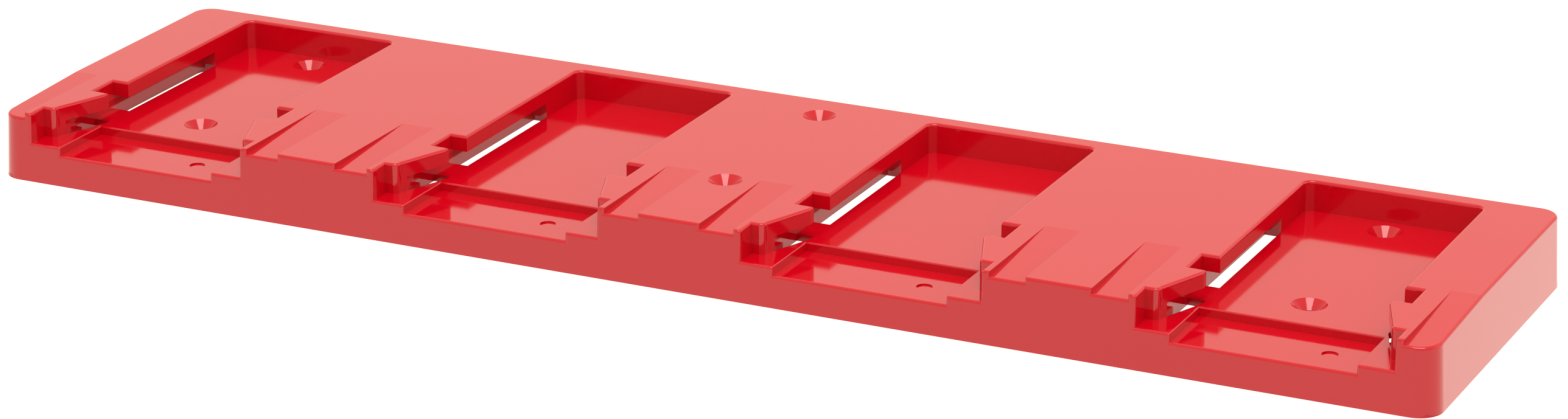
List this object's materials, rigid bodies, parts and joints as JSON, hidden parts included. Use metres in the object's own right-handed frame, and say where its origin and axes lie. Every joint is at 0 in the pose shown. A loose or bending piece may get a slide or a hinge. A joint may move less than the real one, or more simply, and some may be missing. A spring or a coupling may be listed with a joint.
{
  "type": "battery pack wall rack",
  "caption": "Low wall rack in one plastic moulding: side-by-side bays with overhanging rails, flared lead-ins and latch notches for slide-on battery packs.",
  "frame": {"origin": "centre of the base's underside, in the plane that lies against the wall", "axes": "+Z out of the wall, +Y towards the closed ends of the bays, +X along the row of bays, to the right when seen with the bay mouths nearest"},
  "size_m": [0.428, 0.11, 0.02],
  "materials": {
    "red_moulded_plastic": "gloss moulded polypropylene, saturated red, smooth with a very faint grain"
  },
  "bodies": {
    "root": {"front_skirt": "red_moulded_plastic", "rear_skirt": "red_moulded_plastic", "left_end_skirt": "red_moulded_plastic", "right_end_skirt": "red_moulded_plastic", "left_end_land": "red_moulded_plastic", "land_1_2": "red_moulded_plastic", "land_2_3": "red_moulded_plastic", "land_3_4": "red_moulded_plastic", "right_end_land": "red_moulded_plastic", "screw_bosses": "red_moulded_plastic", "bay_1_sill": "red_moulded_plastic", "bay_1_floor": "red_moulded_plastic", "bay_1_left_lead_in": "red_moulded_plastic", "bay_1_right_lead_in": "red_moulded_plastic", "bay_1_left_rail": "red_moulded_plastic", "bay_1_right_rail": "red_moulded_plastic", "bay_1_rear_wall": "red_moulded_plastic", "bay_2_sill": "red_moulded_plastic", "bay_2_floor": "red_moulded_plastic", "bay_2_left_lead_in": "red_moulded_plastic", "bay_2_right_lead_in": "red_moulded_plastic", "bay_2_left_rail": "red_moulded_plastic", "bay_2_right_rail": "red_moulded_plastic", "bay_2_rear_wall": "red_moulded_plastic", "bay_3_sill": "red_moulded_plastic", "bay_3_floor": "red_moulded_plastic", "bay_3_left_lead_in": "red_moulded_plastic", "bay_3_right_lead_in": "red_moulded_plastic", "bay_3_left_rail": "red_moulded_plastic", "bay_3_right_rail": "red_moulded_plastic", "bay_3_rear_wall": "red_moulded_plastic", "bay_4_sill": "red_moulded_plastic", "bay_4_floor": "red_moulded_plastic", "bay_4_left_lead_in": "red_moulded_plastic", "bay_4_right_lead_in": "red_moulded_plastic", "bay_4_left_rail": "red_moulded_plastic", "bay_4_right_rail": "red_moulded_plastic", "bay_4_rear_wall": "red_moulded_plastic"}
  },
  "joints": []
}
